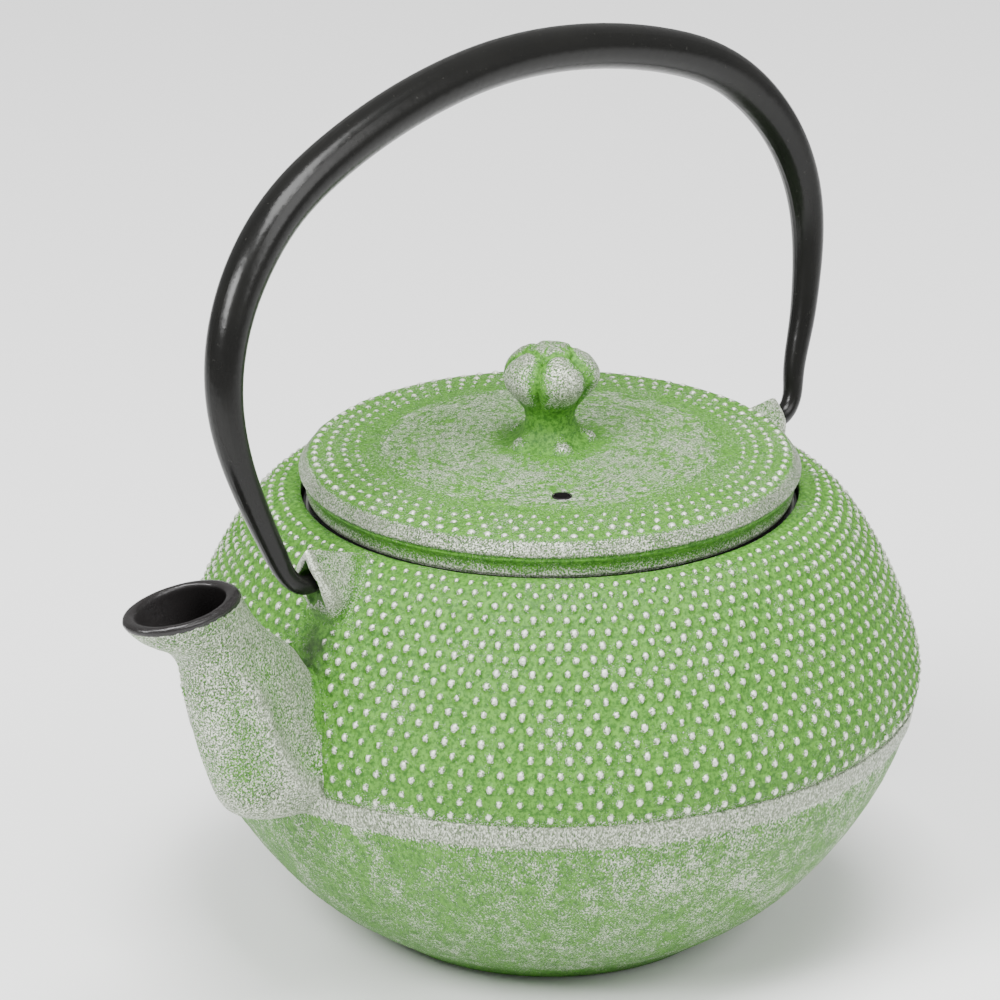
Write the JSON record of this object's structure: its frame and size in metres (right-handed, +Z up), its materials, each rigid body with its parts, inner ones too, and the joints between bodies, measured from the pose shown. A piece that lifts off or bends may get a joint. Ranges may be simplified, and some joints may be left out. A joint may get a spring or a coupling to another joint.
{
  "type": "cast iron teapot",
  "caption": "Round cast iron teapot with hobnail texture, a smooth band, short curved spout, lift-off lid with bud knob, swinging bail handle and a steel infuser inside.",
  "frame": {"origin": "centre of the flat base", "axes": "+Z up, spout along -X, the bail swings about a line close to X"},
  "size_m": [0.2015, 0.1476, 0.1817],
  "materials": {
    "green_iron": "green patina rubbed back to silver on the raised parts",
    "black_paint": "satin black paint",
    "stainless": "satin",
    "steel_mesh": "fine woven mesh"
  },
  "bodies": {
    "pot": {"pot_body": "green_iron", "pot_spout": "green_iron"},
    "infuser": {"infuser_rim": "stainless", "infuser_wall": "steel_mesh", "infuser_base_band": "stainless", "infuser_base": "steel_mesh"},
    "lid": {"lid": "green_iron", "lid_knob": "green_iron", "knob_washer": "stainless"},
    "bail": {"bail_handle": "black_paint"}
  },
  "joints": [
    {"name": "bail_swing", "type": "hinge", "parent": "pot", "child": "bail", "pos_m": [0, 0, 0.0891], "axis": [0.9998, 0, -0.0174], "range_deg": [-106, 124]},
    {"name": "infuser_lift", "type": "slide", "parent": "pot", "child": "infuser", "axis": [0, 0, 1], "range_m": [0, 0.045]},
    {"name": "lid_lift", "type": "slide", "parent": "infuser", "child": "lid", "axis": [0, 0, 1], "range_m": [0, 0.04]}
  ]
}
